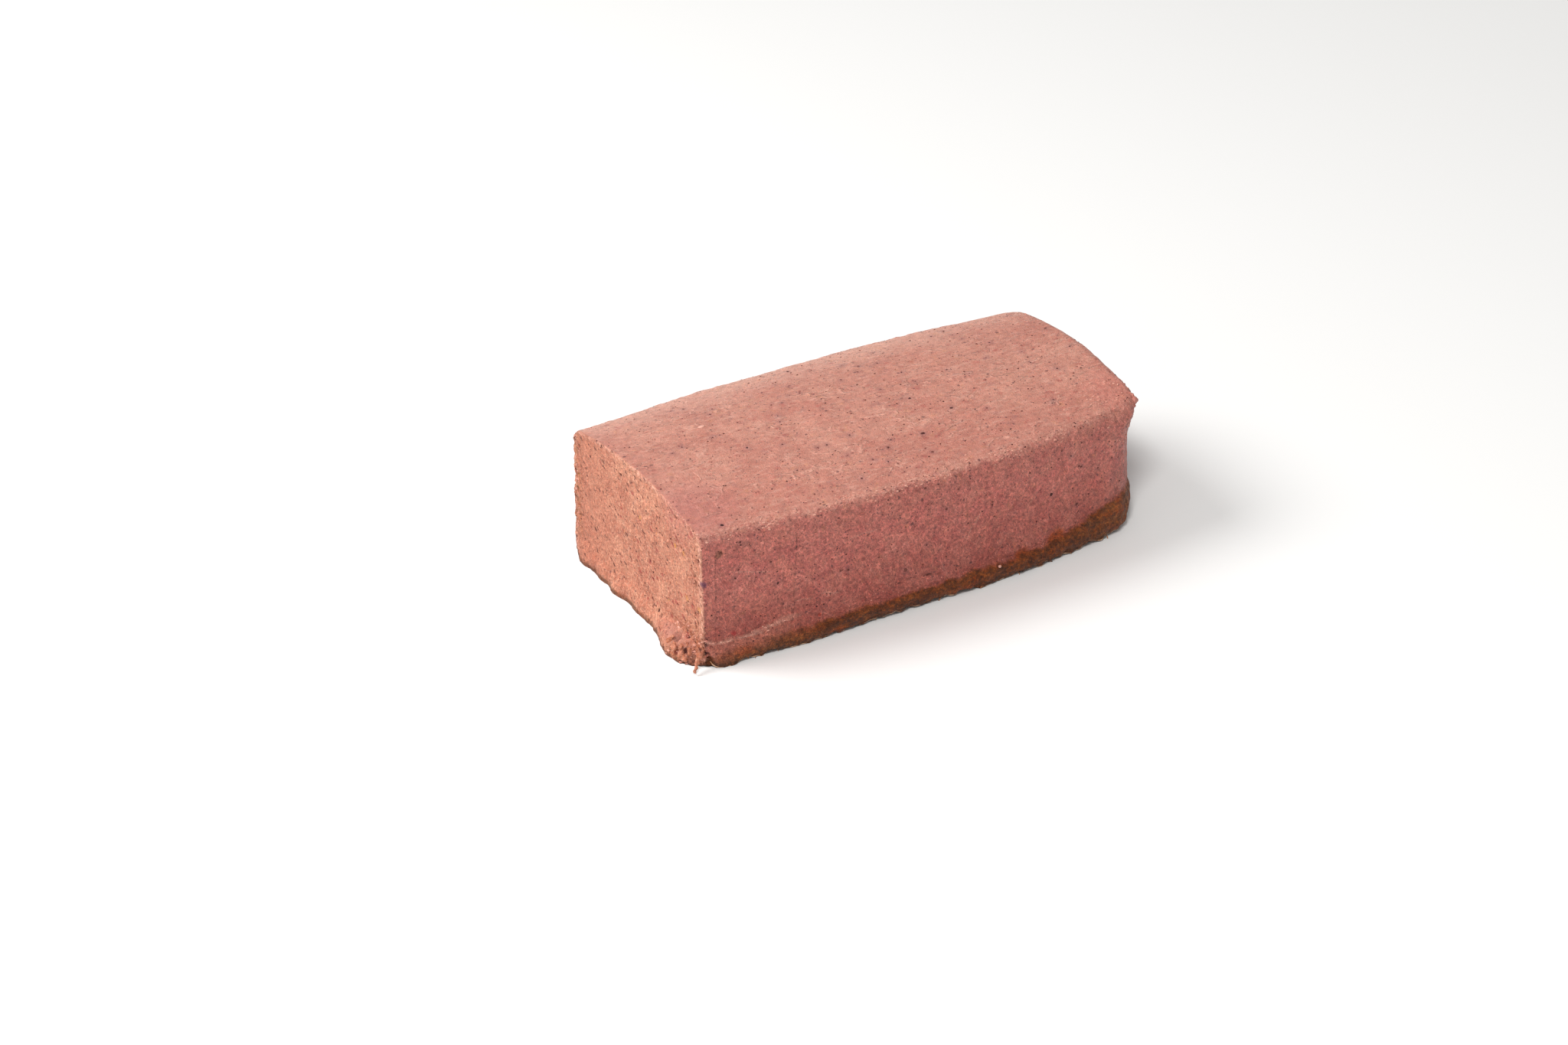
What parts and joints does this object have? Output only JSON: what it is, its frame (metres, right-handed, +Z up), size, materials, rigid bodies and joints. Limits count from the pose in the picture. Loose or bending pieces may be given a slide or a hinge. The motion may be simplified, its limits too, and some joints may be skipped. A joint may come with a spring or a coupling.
{
  "type": "game pate loaf",
  "caption": "Oblong loaf of game pate as cut: crowned top, flat cut face at one end, rounded corners at the other and a browned crust underneath.",
  "frame": {"origin": "middle of the underside, on the surface that the loaf rests on", "axes": "+X along the loaf from its cut face to its rounded end, +Y across it, +Z up"},
  "size_m": [0.2594, 0.1366, 0.0759],
  "materials": {
    "pate": "moist fine-ground cooked meat paste, satin on the moulded top and sides, drier and porous on the cut face",
    "crust": "browned baked crust with greasy orange-brown patches",
    "pepper": "dull ground black pepper",
    "fat": "pale crumbs of fat and paste"
  },
  "bodies": {
    "root": {"pate_loaf": "pate"}
  },
  "joints": []
}
